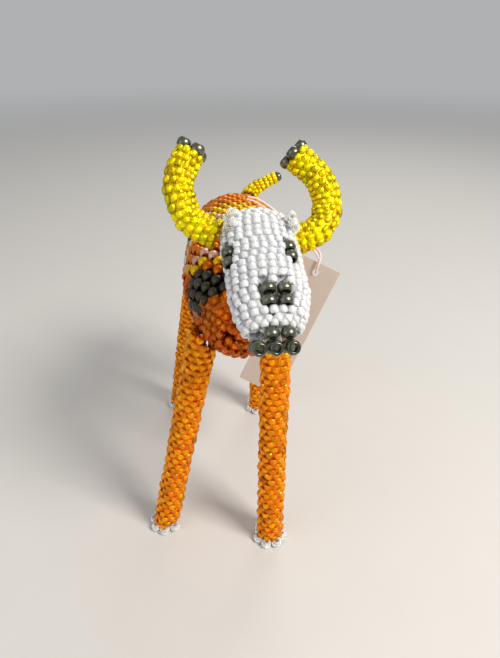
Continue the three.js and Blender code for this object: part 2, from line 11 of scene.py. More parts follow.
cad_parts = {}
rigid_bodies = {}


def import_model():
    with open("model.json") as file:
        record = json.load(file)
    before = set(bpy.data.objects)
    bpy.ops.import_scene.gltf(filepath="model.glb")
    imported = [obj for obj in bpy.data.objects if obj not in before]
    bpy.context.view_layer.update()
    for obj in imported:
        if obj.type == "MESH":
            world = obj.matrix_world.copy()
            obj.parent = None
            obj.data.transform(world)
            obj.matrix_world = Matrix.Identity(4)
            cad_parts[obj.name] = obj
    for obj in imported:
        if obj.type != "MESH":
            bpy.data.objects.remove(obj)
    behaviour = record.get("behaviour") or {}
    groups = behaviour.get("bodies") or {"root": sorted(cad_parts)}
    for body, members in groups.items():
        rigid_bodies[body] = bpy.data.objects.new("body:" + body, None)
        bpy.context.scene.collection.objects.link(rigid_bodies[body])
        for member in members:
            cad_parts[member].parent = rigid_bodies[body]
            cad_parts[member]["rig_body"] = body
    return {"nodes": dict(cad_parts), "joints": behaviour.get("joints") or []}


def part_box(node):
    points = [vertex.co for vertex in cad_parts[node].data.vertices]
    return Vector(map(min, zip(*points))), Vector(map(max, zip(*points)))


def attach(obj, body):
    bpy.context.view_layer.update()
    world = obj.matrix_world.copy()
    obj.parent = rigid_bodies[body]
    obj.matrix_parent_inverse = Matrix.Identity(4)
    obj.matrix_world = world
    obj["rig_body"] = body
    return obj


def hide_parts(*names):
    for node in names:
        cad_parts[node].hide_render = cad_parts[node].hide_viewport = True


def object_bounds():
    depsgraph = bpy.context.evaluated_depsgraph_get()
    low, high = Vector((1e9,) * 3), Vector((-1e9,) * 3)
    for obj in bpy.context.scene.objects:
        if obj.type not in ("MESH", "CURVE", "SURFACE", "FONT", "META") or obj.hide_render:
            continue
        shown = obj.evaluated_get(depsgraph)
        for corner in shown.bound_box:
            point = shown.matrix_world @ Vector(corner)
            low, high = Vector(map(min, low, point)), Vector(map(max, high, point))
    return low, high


bl_info = {
    "name": "Beaded Bull",
    "version": (1, 0, 0),
    "blender": (4, 5, 0),
    "location": "View3D > Sidebar > Beaded Bull",
    "description": "Weaves the bead skins of a small glass-bead bull over its frame",
    "category": "Object",
}

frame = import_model()
CAD_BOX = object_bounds()
MM = 0.001
SEED = 7
NO_BEADS = np.empty((0, 4))

# the frame's own sizes that its boxes don't give
THICK_CORE = 0.8 * MM
THIN_CORE = 0.4 * MM
TAIL_ROOT = 4.2 * MM
TAIL_TIP = 2.6 * MM
TAIL_LENGTH = 9.0 * MM
DARK_HALF_LENGTH = 0.8 * MM

# beads round each tube and in an ear
HORN_COUNT = 10
LEG_COUNT = 9
TAIL_COUNT = 8
NECK_COUNT = 12
EAR_COUNT = 5

# how beads are laid, in bead widths
EAR_PITCH = 0.82
EAR_HALF_LENGTH = 0.36
TUBE_ROW = 0.96
FORM_ROW = 0.9
FORM_HALF_LENGTH = 0.46
TUBE_HALF_LENGTH = (0.3, 0.65)
TUBE_END_GAP = 0.97
TUBE_WEB_DEPTH = 0.36
FORM_WEB_LIFT = 0.16
BACK_WEB_LIFT = -0.04
BESIDE = 0.44
WINDOW_EDGE = 0.38

# how unevenly they are laid: turned aside and outward, and larger or smaller, as shares, and out of
# the skin as a length
TUBE_ASIDE = 0.1
TUBE_OUTWARD = 0.06
FORM_ASIDE = 0.08
TUBE_SPREAD = 0.05
FORM_SPREAD = 0.03
WOBBLE_OUT = 0.06 * MM
FORM_WOBBLE_OUT = 0.05 * MM

# lengths: how far apart two spots of a rod's middle line can be and count as one, how far to look
# ahead for its direction, how far rows go past its ends, and how far a bead may be from the skin
SAME_SPOT = 0.5 * MM
LOOK_AHEAD = 0.3 * MM
PAST_ENDS = 6 * MM
NECK_HALF_LENGTH = 4 * MM
WINDOW_DEPTH = 1.5 * MM
LEG_REACH = 0.55 * MM
NECK_REACH = 0.45 * MM
NECK_INSET = 0.4 * MM

# threads between beads: how much darker they are than the beads, as painted shade between them, how
# many points go round a tube, and how far they reach past the edge of a pattern
WEB_SHADE = 0.95
WEB_TURNS = 24
WEB_MARGIN = 0.06

# the map of a piece: its beads lie below this height, each inside an empty edge, and its threads above
WEB_STRIP = 0.9
MAP_EDGE = 0.06

# the pattern, in shares of the body's length and height, with each ring's outer edge and glass
ALONG_TO_UP = 2.4
SHOULDER_MIDDLE = (0.17, 0.6)
SHOULDER_RINGS = ((0.17, "dark"), (0.22, "amber"), (0.3, "gold"), (0.38, "rose"))
DIAMOND_MIDDLE = (0.6, 0.66)
DIAMOND_REACH = (0.26, 0.24)
DIAMOND_RINGS = ((0.28, "dark"), (0.48, "gold"), (0.68, "amber"), (0.9, "checks"))
CHECKS = (40, 12)
BACK_BANDS = ((0.42, 0.56, "rose"), (0.56, 0.64, "gold"))
BAND_HEIGHT = 0.8
CHEST_END = 0.34
CHEST_EDGE = 0.6
FLANK_EDGE_HEIGHT = 0.5
SEAM = 0.02

# glass: the woven dark beads as a share of the loose ones' colour, and the clear beads
DARK_SHARE = 0.42
HOOF_TONE = (0.93, 0.93, 0.92)
EAR_TONE = (0.94, 0.94, 0.92)

# the room: camera, lights (place from the middle, width, watts, tint) and floor
CAMERA_PLACE = (4.435 * MM, -84.42 * MM, 93.0 * MM)
CAMERA_DOWN = 31.2
CAMERA_LENS = 27.36
LIGHTS = {
    "key": ((0.22, -0.16, 0.26), 0.12, 1.5, (1.0, 0.96, 0.9)),
    "fill": ((-0.3, -0.22, 0.16), 0.3, 0.3, (0.9, 0.95, 1.0)),
    "back": ((0.1, 0.34, 0.3), 0.2, 0.45, (1.0, 0.98, 0.95)),
}
ROOM_TONE = (0.86, 0.88, 0.90, 1.0)
ROOM_LIGHT = 0.5
FLOOR_SIZE = 3.0
FLOOR_FADE = (0.16, 1.0)

SIDES = ("left", "right")
LEGS = ("front_right", "front_left", "rear_right", "rear_left")
BODY_OF = {node: item["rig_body"] for node, item in frame["nodes"].items()}

# where the tag's thread runs, in millimetres from the left flank, the middle and the top of the back:
# over the back, through the tag and back again
FLANK_EDGE = (12.4364, 5.1797, 63.8)
THREAD_ROUTE = [
    (-8.6, 7.2, 0.2), (-7, 6.4, 0), (-4.8, 5.6, -1.2), (-2.4, 4.9, -2.9), (-0.1, 4.2, -4.9),
    (2.4, 3.5, -6.9), (4.8, 2.9, -8.9), (5.7, 2.3, -10.6), (5.3, 1.5, -12.1), (5, 0.7, -12.45),
    (4.9, -0.1, -11.9), (5.3, -0.1, -10.4), (5.7, 0.9, -8.9), (4.7, 2.6, -7.6), (2.6, 4.3, -6.2),
    (0.2, 5.7, -4.5), (-2.1, 6.8, -2.7), (-4.5, 7.8, -1.1), (-6.8, 8.3, 0.1), (-8.4, 8.6, 0.3),
]


# ---- sizes and colours that a user would change ----

def length(name, description, millimetres):
    return bpy.props.FloatProperty(
        name=name, description=description, default=millimetres * MM,
        min=0.0001, unit="LENGTH", precision=4)


def colour(name, description, rgb):
    return bpy.props.FloatVectorProperty(
        name=name, description=description, default=[linear(c) for c in rgb],
        size=3, min=0.0, max=1.0, subtype="COLOR")


def linear(c):
    """A display colour value from 0 to 255 as scene-linear light."""
    c = c / 255
    return c / 12.92 if c <= 0.04045 else ((c + 0.055) / 1.055) ** 2.4


class BeadSizes(bpy.types.PropertyGroup):
    body_bead: length("Body bead", "Width of the beads of the body", 1.95)
    head_bead: length("Head bead", "Width of the beads of the head", 1.28)
    leg_bead: length("Leg bead", "Width of the beads of the legs", 1.42)
    horn_bead: length("Horn bead", "Width of the beads of the horns", 1.16)
    tail_bead: length("Tail bead", "Width of the beads of the tail", 1.1)
    dark_bead: length("Dark bead", "Width of the eye, nostril, muzzle and tip beads", 2.2)
    hoof_bead: length("Hoof bead", "Width of the clear beads under the feet", 2.1)
    ear_bead: length("Ear bead", "Width of the clear beads of the ear loops", 1.5)
    thread: length("Thread", "Thickness of the tag's thread", 0.35)


class BeadColours(bpy.types.PropertyGroup):
    leg: colour("Legs", "Silver-lined orange glass", (248, 156, 0))
    body: colour("Body", "Clear orange glass", (226, 126, 0))
    # amber is glass of the pattern; on the belly its deeper tone also serves as painted shade of the
    # underside
    amber: colour("Amber", "Deep amber glass of the pattern", (205, 104, 0))
    gold: colour("Gold", "Yellow glass of the pattern", (236, 188, 0))
    rose: colour("Rose", "Pale rose glass of the pattern", (222, 186, 170))
    horn: colour("Horns", "Silver-lined yellow glass", (244, 224, 0))
    head: colour("Head", "Pearly white glass", (233, 237, 243))
    dark: colour("Dark", "Dark metallic glass", (104, 104, 88))
    card: colour("Tag", "Blank card", (196, 184, 172))


# ---- shader nodes ----

class Socket:
    """A value in a node tree that can be added, multiplied and so on."""

    def __init__(self, tree, link):
        self.tree = tree
        self.link = link

    def _math(self, operation, a, b):
        return self.tree.node("ShaderNodeMath", {"operation": operation}, {0: a, 1: b})

    def __add__(self, other):
        return self._math("ADD", self, other)

    def __radd__(self, other):
        return self._math("ADD", other, self)

    def __mul__(self, other):
        return self._math("MULTIPLY", self, other)

    def __rmul__(self, other):
        return self._math("MULTIPLY", other, self)


class Finish:
    """A material and its node tree, with one method that adds any node."""

    def __init__(self, name, **sockets):
        self.material = bpy.data.materials.new(name)
        self.material.use_nodes = True
        self.nodes = self.material.node_tree.nodes
        self.links = self.material.node_tree.links
        self.shader = self.nodes["Principled BSDF"]
        for socket, value in sockets.items():
            self.set(socket.replace("_", " "), value)

    def set(self, socket, value):
        target = self.shader.inputs[socket]
        if isinstance(value, Socket):
            self.links.new(value.link, target)
        else:
            target.default_value = value

    def node(self, kind, settings=None, values=None, output=0):
        made = self.nodes.new(kind)
        for key, value in (settings or {}).items():
            setattr(made, key, value)
        for key, value in (values or {}).items():
            if isinstance(value, Socket):
                self.links.new(value.link, made.inputs[key])
            else:
                made.inputs[key].default_value = value
        return Socket(self, made.outputs[output])

    def mix(self, factor, a, b, blend="MIX"):
        """Two colours mixed; 6 and 7 are the colour inputs of a Mix node, and output 2 its colour."""
        return self.node("ShaderNodeMix", {"data_type": "RGBA", "blend_type": blend},
                         {0: factor, 6: a, 7: b}, output=2)

    def fade(self, value, start, end, shape="LINEAR"):
        """0 before start, 1 past end, and even between."""
        return self.node("ShaderNodeMapRange", {"interpolation_type": shape},
                         {0: value, 1: start, 2: end, 3: 0.0, 4: 1.0})

    def attribute(self, name, output=0):
        return self.node("ShaderNodeAttribute", {"attribute_name": name}, output=output)

    def place(self):
        return self.node("ShaderNodeTexCoord", output=3)

    def noise(self, scale, detail=2.0, output=0):
        return self.node("ShaderNodeTexNoise", None,
                         {"Vector": self.place(), "Scale": scale, "Detail": detail}, output)

    def bump(self, height, strength, distance):
        normal = self.node("ShaderNodeBump", None,
                           {"Height": height, "Strength": strength, "Distance": distance})
        self.set("Normal", normal)


def shaded_bead_colour(finish, shade_colour, spread):
    """Each bead's own colour, darker towards its ends: painted shade of the gaps and bores between beads.
    """
    own = finish.attribute("bead_colour")
    rim_shade_mask = finish.attribute("bead_rim_shade", output=2)
    # painted shade: the colour darkens towards the ends, where beads meet and the bores sink in
    painted_shade_tone = finish.mix(1.0, own, shade_colour, blend="MULTIPLY")
    body = finish.mix(rim_shade_mask, own, painted_shade_tone)
    cloud = finish.noise(900.0)
    pale = finish.mix(cloud * spread, body, (1.0, 1.0, 1.0, 1.0), blend="SOFT_LIGHT")
    return pale


def silver_lined(name, shade_colour):
    """Tinted clear glass with gloss on top; the glints of its silver lining are painted into its colour as
    light yellow specks, beside painted dark patches of shade.
    """
    finish = Finish(name, Coat_Weight=0.05, Coat_Roughness=0.05)
    facets = finish.node("ShaderNodeTexVoronoi", {"feature": "F1"},
                         {"Vector": finish.place(), "Scale": 2100.0})
    own = shaded_bead_colour(finish, shade_colour, 0.3)
    # painted highlight: light yellow specks where the lining would glint
    painted_glint = finish.mix(0.6, own, (1.0, 0.8, 0.12, 1.0))
    painted_shade_tone = finish.mix(1.0, own, shade_colour, blend="MULTIPLY")
    patch = finish.noise(1500.0, detail=3.0)
    glint_mask = finish.fade(facets, 0.26, 0.08)
    # painted shade: darker patches over each bead
    shade = finish.fade(patch, 0.5, 0.64)
    finish.set("Base Color", finish.mix(glint_mask, finish.mix(shade, own, painted_shade_tone), painted_glint))
    finish.set("Metallic", 0.85 + glint_mask * 0.15)
    finish.set("Roughness", 0.22 + facets * 0.5)
    finish.bump(patch + facets, 0.3, 0.0002)
    return finish.material


def clear_tinted(name, shade_colour):
    """Plain clear coloured glass."""
    finish = Finish(name, Coat_Weight=0.02, Coat_Roughness=0.08, Metallic=0.9)
    finish.set("Base Color", shaded_bead_colour(finish, shade_colour, 0.3))
    finish.set("Roughness", 0.3 + finish.noise(1500.0) * 0.2)
    finish.bump(finish.noise(2200.0), 0.15, 0.0001)
    return finish.material


def pearl_glass():
    finish = Finish("pearl_white_glass", Coat_Weight=0.8, Coat_Roughness=0.05, Transmission_Weight=0.25,
                    Subsurface_Weight=0.7, Subsurface_Scale=0.0015)
    finish.shader.inputs["Subsurface Radius"].default_value = (0.8, 0.9, 1.0)
    # the colour of the painted shade at the bead ends
    finish.set("Base Color", shaded_bead_colour(finish, (0.86, 0.88, 0.9, 1.0), 0.4))
    finish.set("Roughness", 0.24 + finish.noise(1200.0) * 0.16)
    finish.bump(finish.noise(2000.0), 0.1, 0.0001)
    return finish.material


def dark_metallic_glass():
    finish = Finish("dark_metallic_glass", Metallic=0.92, Coat_Weight=0.5, Coat_Roughness=0.08)
    # the colour of the painted shade at the bead ends
    finish.set("Base Color", shaded_bead_colour(finish, (0.4, 0.42, 0.4, 1.0), 0.5))
    finish.set("Roughness", 0.2 + finish.noise(700.0) * 0.2)
    finish.bump(finish.noise(1800.0), 0.12, 0.0001)
    return finish.material


def clear_glass():
    finish = Finish("clear_glass", Transmission_Weight=0.6, IOR=1.35, Coat_Weight=0.3)
    # the colour of the painted shade at the bead ends
    finish.set("Base Color", shaded_bead_colour(finish, (0.9, 0.9, 0.9, 1.0), 0.3))
    finish.set("Roughness", 0.1 + finish.noise(900.0) * 0.12)
    return finish.material


def plain_card(rgb):
    finish = Finish("plain_card", Roughness=0.85)
    fibres = finish.noise(2600.0, detail=6.0)
    shade = finish.mix(fibres * 0.35, (*rgb, 1.0), (0.42, 0.38, 0.34, 1.0), blend="MULTIPLY")
    finish.set("Base Color", shade)
    finish.set("Roughness", 0.75 + fibres * 0.2)
    finish.bump(fibres, 0.25, 0.00005)
    return finish.material


def twisted_nylon():
    finish = Finish("twisted_nylon", Roughness=0.45, Sheen_Weight=0.3)
    strands = finish.node("ShaderNodeTexWave", {"wave_type": "BANDS", "bands_direction": "DIAGONAL"},
                          {"Vector": finish.place(), "Scale": 1600.0, "Distortion": 1.5})
    finish.set("Base Color", finish.mix(strands, (0.80, 0.52, 0.50, 1.0), (0.90, 0.80, 0.78, 1.0)))
    finish.set("Roughness", 0.4 + strands * 0.2)
    finish.bump(strands, 0.4, 0.00004)
    return finish.material


def soft_fill(name, tone):
    finish = Finish(name, Roughness=0.95)
    tufts = finish.noise(800.0, detail=8.0)
    finish.set("Base Color", finish.mix(tufts, tone, tuple(c * 0.75 for c in tone[:3]) + (1.0,)))
    finish.set("Roughness", 0.85 + tufts * 0.15)
    finish.bump(tufts, 0.8, 0.0003)
    return finish.material


def bare_wire():
    finish = Finish("bare_wire", Metallic=1.0, Roughness=0.35)
    drawn = finish.noise(1400.0, detail=4.0)
    finish.set("Base Color", finish.mix(drawn, (0.45, 0.44, 0.42, 1.0), (0.62, 0.61, 0.58, 1.0)))
    finish.set("Roughness", 0.3 + drawn * 0.2)
    finish.bump(drawn, 0.2, 0.00005)
    return finish.material


def pale_floor():
    """Plain and pale near the figure, and the room's own tone far away, so that no edge shows."""
    finish = Finish("pale_floor", Roughness=0.7, Specular_IOR_Level=0.0, Emission_Strength=ROOM_LIGHT)
    grain = finish.noise(120.0, detail=4.0)
    near = finish.mix(grain * 0.5, (0.62, 0.60, 0.57, 1.0), (0.58, 0.56, 0.53, 1.0))
    away = finish.node("ShaderNodeVectorMath", {"operation": "LENGTH"}, {0: finish.place()}, output=1)
    far = finish.fade(away, *FLOOR_FADE, shape="SMOOTHSTEP")
    dark = (0.0, 0.0, 0.0, 1.0)
    finish.set("Base Color", finish.mix(far, near, dark))
    finish.set("Emission Color", finish.mix(far, dark, ROOM_TONE))
    return finish.material


# ---- beads ----

def bead_outline(bore):
    """Radius and height of a round bead's outline, once round its section, for a bead of radius 1."""
    face = 0.5 + 0.3 * bore
    half = [(bore, 0.72), (face, 1.0), (0.84, 0.78), (1.0, 0.32)]
    return np.array([(bore, -0.72), *half, *[(r, -z) for r, z in reversed(half[1:])]])


class Beads:
    """A strand of beads that becomes one mesh. A bead has a centre, the line of its bore and a size."""

    def __init__(self, around=12, bore=0.34):
        self.around = around
        self.bore = bore
        self.rows = []
        self.webs = []

    def web(self, grid, held, tones):
        """The threads between the beads: a sheet through their middles, where held is true."""
        self.webs.append((grid, held, tones))

    def add(self, centre, bore_line, outward, radius, half_length, tone):
        axis = np.asarray(bore_line, float)
        axis = axis / np.linalg.norm(axis)
        out = np.asarray(outward, float)
        out = out - axis * (out @ axis)
        size = np.linalg.norm(out)
        if size < 1e-6:
            out = np.cross(axis, (0.31, 0.52, 0.79))
            size = np.linalg.norm(out)
        out = out / size
        side = np.cross(axis, out)
        self.rows.append((np.asarray(centre, float), np.stack([out, side, axis], axis=1),
                          radius, half_length, tone))

    def _template(self):
        """One bead's corners, how near its ends each corner is (the share of painted shade it gets), its
        faces, and their places on its map.
        """
        outline = bead_outline(self.bore)
        per = len(outline)
        turn = np.linspace(0, 2 * math.pi, self.around, endpoint=False)
        # painted shade grows towards the bead's ends, and is full inside the bore
        rim_shade_mask = np.clip((np.abs(outline[:, 1]) - 0.4) / 0.6, 0, 1)
        rim_shade_mask[:2] = 1.0
        points = np.array([(r * math.cos(a), r * math.sin(a), z) for a in turn for r, z in outline])
        quads, cells = [], []
        for a in range(self.around):
            b = (a + 1) % self.around
            for k in range(per):
                m = (k + 1) % per
                quads.append((a * per + k, b * per + k, b * per + m, a * per + m))
                u, v = a / self.around, k / per
                du, dv = 1 / self.around, 1 / per
                cells.append([(u, v), (u + du, v), (u + du, v + dv), (u, v + dv)])
        return points, np.tile(rim_shade_mask, self.around), np.array(quads), np.array(cells)

    def build(self, name, material):
        points, rim_shade_mask, quads, cells = self._template()
        count, size = len(self.rows), len(points)
        centres = np.array([row[0] for row in self.rows])
        frames = np.array([row[1] for row in self.rows])
        scale = np.array([(row[2], row[2], row[3]) for row in self.rows])
        tones = np.array([(*row[4][:3], 1.0) for row in self.rows])
        placed = np.einsum("nij,nkj->nki", frames, points[None] * scale[:, None]) + centres[:, None]
        faces = (quads[None] + (np.arange(count) * size)[:, None, None]).reshape(-1, 4)
        grid = math.ceil(math.sqrt(count))
        index = np.arange(count)
        corner = np.stack([index % grid, index // grid], axis=1) + MAP_EDGE
        uv = ((corner[:, None, None] + cells[None] * (1 - 2 * MAP_EDGE)) / grid).reshape(-1, 2)
        uv[:, 1] *= WEB_STRIP
        points = [placed.reshape(-1, 3)]
        colours = [np.repeat(tones, size, axis=0)]
        rim_shade_masks = [np.tile(rim_shade_mask, count)]
        faces, uv = [faces], [uv]
        start = count * size
        for web, held, shades in self.webs:
            high, round_ = web.shape[:2]
            points.append(web.reshape(-1, 3))
            colours.append(np.concatenate([shades.reshape(-1, 3), np.ones((high * round_, 1))], axis=1))
            # the threads also get part of the painted shade of the bead ends
            rim_shade_masks.append(np.full(high * round_, 0.4))
            for i in range(high - 1):
                for k in range(round_):
                    m = (k + 1) % round_
                    if held[i, k] and held[i, m] and held[i + 1, k] and held[i + 1, m]:
                        spots = ((i, k, k), (i, m, k + 1), (i + 1, m, k + 1), (i + 1, k, k))
                        faces.append([[start + row * round_ + col for row, col, _ in spots]])
                        uv.append([(u / round_, WEB_STRIP + (1 - WEB_STRIP) * row / high)
                                   for row, _, u in spots])
            start += high * round_
        points, faces, uv = np.vstack(points), np.vstack(faces), np.vstack(uv)
        used, faces = np.unique(faces, return_inverse=True)
        faces = faces.reshape(-1, 4)
        points = points[used]
        mesh = bpy.data.meshes.new(name)
        mesh.vertices.add(len(points))
        mesh.vertices.foreach_set("co", points.reshape(-1))
        mesh.loops.add(faces.size)
        mesh.loops.foreach_set("vertex_index", faces.reshape(-1).astype(np.int32))
        mesh.polygons.add(len(faces))
        mesh.polygons.foreach_set("loop_start", np.arange(0, faces.size, 4, dtype=np.int32))
        mesh.update(calc_edges=True)
        mesh.polygons.foreach_set("use_smooth", np.ones(len(mesh.polygons), bool))
        own = mesh.attributes.new("bead_colour", "FLOAT_COLOR", "POINT")
        own.data.foreach_set("color", np.vstack(colours)[used].reshape(-1))
        # how much painted shade each corner gets
        ends = mesh.attributes.new("bead_rim_shade", "FLOAT", "POINT")
        ends.data.foreach_set("value", np.concatenate(rim_shade_masks)[used])
        layer = mesh.uv_layers.new(name="OFBake")
        layer.data.foreach_set("uv", uv.reshape(-1))
        piece = bpy.data.objects.new(name, mesh)
        bpy.context.scene.collection.objects.link(piece)
        mesh.materials.append(material)
        return piece


# ---- reading the frame ----

def points_of(node):
    """A node's corners, in metres."""
    item = frame["nodes"][node]
    return np.array([item.matrix_world @ v.co for v in item.data.vertices])


def surface_of(node):
    item = frame["nodes"][node]
    return BVHTree.FromPolygons([item.matrix_world @ v.co for v in item.data.vertices],
                                [p.vertices[:] for p in item.data.polygons])


def principal_axes(points):
    """The directions of a set of points, longest first, and how far they reach along each."""
    spread, axes = np.linalg.eigh(np.cov((points - points.mean(axis=0)).T))
    order = np.argsort(spread)[::-1]
    return axes[:, order].T, spread[order]


def joint_named(name):
    for joint in frame["joints"]:
        if joint["name"] == name:
            return joint
    raise RuntimeError("no joint named " + name)


def under_faces(node, radius):
    """The point a radius under each face of a rod, which lies on its middle line, and the face's area."""
    item = frame["nodes"][node]
    inside = [np.array(item.matrix_world @ p.center) - np.array(p.normal) * radius
              for p in item.data.polygons]
    return np.array(inside), np.array([p.area for p in item.data.polygons])


def straight_line(core, radius, skin):
    """The middle line of a straight rod, as long as its skin."""
    inside, areas = under_faces(core, radius)
    middle = np.average(inside, axis=0, weights=areas)
    spread, axes = np.linalg.eigh(np.cov((inside - middle).T, aweights=areas))
    way = axes[:, np.argmax(spread)]
    way = way * np.sign(way[2])
    reach = (points_of(skin) - middle) @ way
    return np.array([middle + way * s for s in np.linspace(reach.min(), reach.max(), 60)])


def curved_line(core, radius):
    """The middle line of a bent rod, gathered from under its faces and put in order."""
    groups = []
    for spot, area in zip(*under_faces(core, radius)):
        for group in groups:
            if np.linalg.norm(group[0] / group[1] - spot) < SAME_SPOT:
                group[0] += spot * area
                group[1] += area
                break
        else:
            groups.append([spot * area, area])
    left = [total / area for total, area in groups]
    axes, _ = principal_axes(np.array(left))
    line = [left.pop(int(np.argmin(np.array(left) @ axes[0])))]
    while left:
        line.append(left.pop(int(np.argmin([np.linalg.norm(spot - line[-1]) for spot in left]))))
    return np.array(line)


def catmull_rom(points, steps):
    """A smooth line through the points."""
    points = [np.asarray(p, float) for p in points]
    ends = [2 * points[0] - points[1], *points, 2 * points[-1] - points[-2]]
    line = []
    for i in range(1, len(ends) - 2):
        a, b, c, d = ends[i - 1:i + 3]
        for k in range(steps):
            t = k / steps
            line.append(0.5 * ((2 * b) + (c - a) * t + (2 * a - 5 * b + 4 * c - d) * t ** 2
                               + (3 * b - a - 3 * c + d) * t ** 3))
    line.append(points[-1])
    return np.array(line)


def stretched(line, reach):
    """The line with both ends carried on straight by reach."""
    first = line[0] + (line[0] - line[1]) / np.linalg.norm(line[0] - line[1]) * reach
    last = line[-1] + (line[-1] - line[-2]) / np.linalg.norm(line[-1] - line[-2]) * reach
    return np.vstack([first, line, last])


def along(line, pitch):
    """Even places along a line, with the direction at each."""
    gaps = np.linalg.norm(np.diff(line, axis=0), axis=1)
    reach = np.concatenate([[0], np.cumsum(gaps)])
    places = np.arange(pitch / 2, reach[-1], pitch)
    spots = np.stack([np.interp(places, reach, line[:, i]) for i in range(3)], axis=1)
    ahead = np.stack([np.interp(np.minimum(places + LOOK_AHEAD, reach[-1]), reach, line[:, i])
                      for i in range(3)], axis=1)
    behind = np.stack([np.interp(np.maximum(places - LOOK_AHEAD, 0), reach, line[:, i])
                       for i in range(3)], axis=1)
    ways = ahead - behind
    return spots, ways / np.linalg.norm(ways, axis=1)[:, None]


# ---- weaving ----

def varied(rng, tone, amount):
    """A bead's colour, a little lighter or darker than its neighbours'."""
    k = 1 + amount * rng.standard_normal()
    return [max(0.0, min(1.0, c * k * (1 + 0.3 * amount * rng.standard_normal()))) for c in tone]


def round_about(side, across, count, shift=0.0):
    """Even directions round a middle line, turned by a share of the step between them."""
    turns = 2 * math.pi * (np.arange(count) + shift) / count
    return np.cos(turns)[:, None] * side + np.sin(turns)[:, None] * across


def woven_tube(name, skin, line, bead, tone, material, count, variety=0.16,
               narrow=None, twist=0.0, reach_out=0.3 * MM, inset=0.0):
    """Beads in rings round a middle line, wherever the frame's skin is.

    There are count beads in a ring. The tube is as wide as the skin less its inset, or as narrow says
    at each place, and a bead is laid where the skin is no further than reach_out.
    """
    rng = np.random.default_rng(SEED + sum(map(ord, name)))
    surface = surface_of(skin)
    skin_points = points_of(skin)
    middle = np.array([line[np.argmin(np.linalg.norm(line - p, axis=1))] for p in skin_points])
    outer = np.percentile(np.linalg.norm(skin_points - middle, axis=1), 80)
    beads = Beads()
    spots, ways = along(stretched(line, PAST_ENDS), bead * TUBE_ROW)
    side = np.cross(ways[0], (0.2, 0.9, 0.4))
    rings = []
    for row, (spot, way) in enumerate(zip(spots, ways)):
        side = side - way * (side @ way)
        side = side / np.linalg.norm(side)
        across = np.cross(way, side)
        width = outer - inset if narrow is None else narrow(spot)
        rings.append((spot, way, width, side, across))
    webbing, held = [], []
    for row, (spot, way, width, side, across) in enumerate(rings):
        next_spot, _, _, next_side, next_across = rings[min(row + 1, len(rings) - 1)]
        for out in round_about(side, across, count, 0.5 * (row % 2) + twist * row):
            _, _, _, gap = surface.find_nearest(Vector(spot + out * width))
            if gap > reach_out:
                continue
            ring = width - bead / 2
            ahead = next_spot + ring * ((out @ side) * next_side + (out @ across) * next_across)
            reach = np.linalg.norm(ahead - spot - out * ring)
            half = np.clip(0.5 * reach / bead, *TUBE_HALF_LENGTH) * bead * TUBE_END_GAP
            aside = TUBE_ASIDE * rng.standard_normal() * np.cross(way, out)
            tilt = way + aside + TUBE_OUTWARD * rng.standard_normal() * out
            size = bead / 2 * (1 + TUBE_SPREAD * rng.standard_normal())
            beads.add(spot + out * (ring + WOBBLE_OUT * rng.standard_normal()), tilt, out,
                      size, half, varied(rng, tone, variety))
        outs = round_about(side, across, WEB_TURNS)
        webbing.append(spot + outs * (width - TUBE_WEB_DEPTH * bead))
        held.append([surface.find_nearest(Vector(spot + out * width))[3] <= reach_out for out in outs])
    webbing = np.array(webbing)
    # painted shade: the threads take the beads' tone, a little darker
    beads.web(webbing, np.array(held), np.full(webbing.shape, WEB_SHADE) * tone)
    return beads.build(name, material)


def outline_at(surface, middle, side, across, rays=96, reach=20 * MM):
    """Where rays from outside meet a skin at one place along its middle, and the way it faces there."""
    spots, faces, held = [], [], []
    for out in round_about(side, across, rays):
        hit, normal, _, _ = surface.ray_cast(Vector(middle + out * reach), Vector(-out), reach)
        held.append(hit is not None)
        spots.append(np.array(hit) if hit else middle + out * 0.1 * MM)
        faces.append(np.array(normal) if hit else out)
    return np.array(spots), np.array(faces), np.array(held)


def crowded(spot, others):
    """True where a bead would cut into another; each of those has a middle and a distance to keep."""
    return bool(len(others)) and bool(
        (np.linalg.norm(others[:, :3] - spot, axis=1) < others[:, 3]).any())


